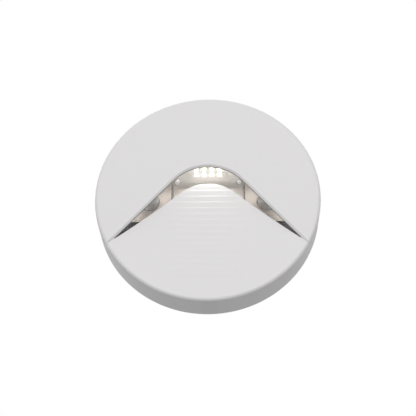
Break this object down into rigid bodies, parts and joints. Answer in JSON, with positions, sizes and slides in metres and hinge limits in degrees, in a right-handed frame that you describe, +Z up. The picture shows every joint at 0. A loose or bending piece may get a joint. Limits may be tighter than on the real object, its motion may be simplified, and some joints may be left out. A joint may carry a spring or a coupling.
{
  "type": "step light",
  "caption": "Round surface-mounted step light: white die-cast cover with an eyebrow window throwing LED light down a scooped, finely stepped ramp, on a wall bracket held by side set screws.",
  "frame": {"origin": "centre of the face that lies on the wall, at the middle of the wall bracket's back", "axes": "+Y into the wall along the fixing screws, so the front faces -Y; +X to the viewer's right; +Z up"},
  "size_m": [0.14, 0.0232, 0.14],
  "materials": {
    "white_powder_coat": "fine satin powder coat",
    "clear_lens": "clear, polished",
    "black_rubber": "matt moulded rubber",
    "grey_foam": "closed-cell foam",
    "black_powder_coat": "fine matt powder coat",
    "zinc_steel": "bright zinc plate",
    "stainless": "stainless, machined",
    "satin_aluminium": "satin sheet, polished flange",
    "white_solder_mask": "white solder mask",
    "led_body": "moulded package",
    "led_phosphor": "silicone with phosphor",
    "beige_plastic": "moulded, fine texture",
    "green_solder_mask": "green solder mask on laminate",
    "black_package": "moulded epoxy",
    "capacitor_sleeve": "shrunk sleeve",
    "ferrite": "sintered, wound",
    "fuse_glass": "glass tube between caps",
    "natural_nylon": "moulded nylon",
    "brass": "turned brass",
    "tinned_copper": "tinned",
    "brown_insulation": "smooth insulation",
    "blue_insulation": "smooth insulation",
    "green_yellow_insulation": "smooth insulation",
    "red_insulation": "smooth insulation",
    "black_insulation": "smooth insulation"
  },
  "bodies": {
    "root": {"back_plate": "black_powder_coat", "back_plate_screws": "stainless", "back_plate_seal": "black_rubber", "cable_grommet": "black_rubber", "driver_board": "green_solder_mask", "driver_board_screws": "stainless", "driver_capacitor": "capacitor_sleeve", "driver_chip": "black_package", "driver_fuse": "fuse_glass", "driver_inductor": "ferrite", "driver_rectifier": "black_package", "earth_screw": "brass", "earth_tag": "tinned_copper", "front_cover": "white_powder_coat", "lamp_bracket": "satin_aluminium", "lamp_bracket_screws": "stainless", "lead_earth": "green_yellow_insulation", "lead_led_negative": "black_insulation", "lead_led_positive": "red_insulation", "lead_live": "brown_insulation", "lead_neutral": "blue_insulation", "led_board": "white_solder_mask", "led_board_screws": "stainless", "led_packages": "led_body", "led_phosphors": "led_phosphor", "lens_gasket": "black_rubber", "reflector_tray": "beige_plastic", "side_screws": "stainless", "terminal_block": "natural_nylon", "terminal_fixing_screws": "stainless", "terminal_screws": "brass", "tray_screws": "stainless", "wall_bracket": "zinc_steel", "wall_gasket": "grey_foam", "window_lens": "clear_lens"}
  },
  "joints": []
}
